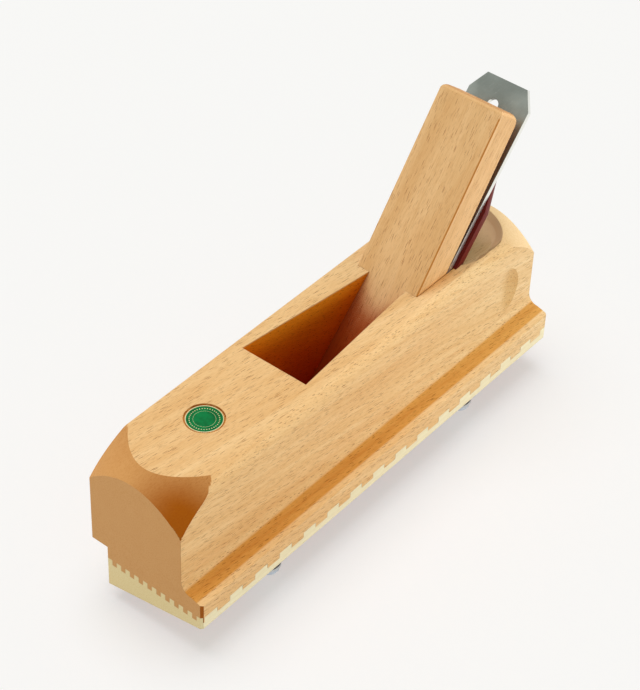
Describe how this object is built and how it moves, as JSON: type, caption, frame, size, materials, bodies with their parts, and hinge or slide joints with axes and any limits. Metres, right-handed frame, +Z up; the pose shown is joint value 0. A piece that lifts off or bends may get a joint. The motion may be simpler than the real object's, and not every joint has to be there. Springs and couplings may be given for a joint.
{
  "type": "dovetail plane",
  "caption": "Wooden dovetail plane: sloping sole, single iron held by a wedge, hand guard, palm hollow, adjustable fence, nicker and depth stop.",
  "frame": {"origin": "middle of the bounding box, at the underside of the fence on which the plane stands", "axes": "+Y from the toe to the heel, +Z up, +X towards the grooved side with the flange"},
  "size_m": [0.0728, 0.2752, 0.1646],
  "materials": {
    "beech": "oiled beech, satin",
    "hornbeam": "plain hornbeam, satin",
    "wedge_beech": "oiled beech, satin",
    "fence_beech": "oiled beech, satin",
    "iron_steel": "ground tool steel",
    "nicker_steel": "ground tool steel",
    "plate_steel": "plated sheet steel",
    "screw_steel": "zinc-plated steel",
    "brass_parts": "turned brass",
    "badge_green": "glossy green enamel",
    "badge_gold": "stamped brass rim"
  },
  "bodies": {
    "plane_body": {"body": "beech", "sole": "hornbeam", "badge_disc": "badge_green", "badge_rim": "badge_gold", "fence_washers": "plate_steel", "fence_inserts": "brass_parts", "nicker_washer": "plate_steel", "nicker_insert": "brass_parts", "depth_stop_washer": "plate_steel", "depth_stop_insert": "brass_parts"},
    "iron": {"iron": "iron_steel"},
    "wedge": {"wedge": "wedge_beech"},
    "fence": {"fence": "fence_beech", "fence_arms": "plate_steel", "fence_arm_screws": "brass_parts"},
    "fence_screw_toe": {"fence_screw_toe": "screw_steel"},
    "fence_screw_heel": {"fence_screw_heel": "screw_steel"},
    "nicker": {"nicker": "nicker_steel"},
    "nicker_screw": {"nicker_screw": "screw_steel"},
    "depth_stop": {"depth_stop": "plate_steel"},
    "depth_stop_screw": {"depth_stop_screw": "screw_steel"}
  },
  "joints": [
    {"name": "iron_slide", "type": "slide", "parent": "plane_body", "child": "iron", "axis": [0, 0.6691, 0.7431], "range_m": [-0.001, 0.06]},
    {"name": "wedge_slide", "type": "slide", "parent": "plane_body", "child": "wedge", "axis": [0, 0.6115, 0.7912], "range_m": [0, 0.07]},
    {"name": "fence_slide", "type": "slide", "parent": "plane_body", "child": "fence", "axis": [0.9848, 0, 0.1736], "range_m": [0, 0.014]},
    {"name": "nicker_slide", "type": "slide", "parent": "plane_body", "child": "nicker", "axis": [0, 0, 1], "range_m": [-0.003, 0.006]},
    {"name": "depth_stop_slide", "type": "slide", "parent": "plane_body", "child": "depth_stop", "axis": [0, 0, -1], "range_m": [0, 0.016]},
    {"name": "fence_screw_toe_turn", "type": "hinge", "parent": "plane_body", "child": "fence_screw_toe", "pos_m": [0.03061, -0.08363, 0.01218], "axis": [-0.1736, 0, 0.9848], "range_deg": [0, 360]},
    {"name": "fence_screw_heel_turn", "type": "hinge", "parent": "plane_body", "child": "fence_screw_heel", "pos_m": [0.03061, 0.06637, 0.01218], "axis": [-0.1736, 0, 0.9848], "range_deg": [0, 360]},
    {"name": "nicker_screw_turn", "type": "hinge", "parent": "plane_body", "child": "nicker_screw", "pos_m": [-0.02186, -0.05263, 0.048], "axis": [1, 0, 0], "range_deg": [0, 360]},
    {"name": "depth_stop_screw_turn", "type": "hinge", "parent": "plane_body", "child": "depth_stop_screw", "pos_m": [-0.03146, 0.06737, 0.049], "axis": [1, 0, 0], "range_deg": [0, 360]}
  ]
}
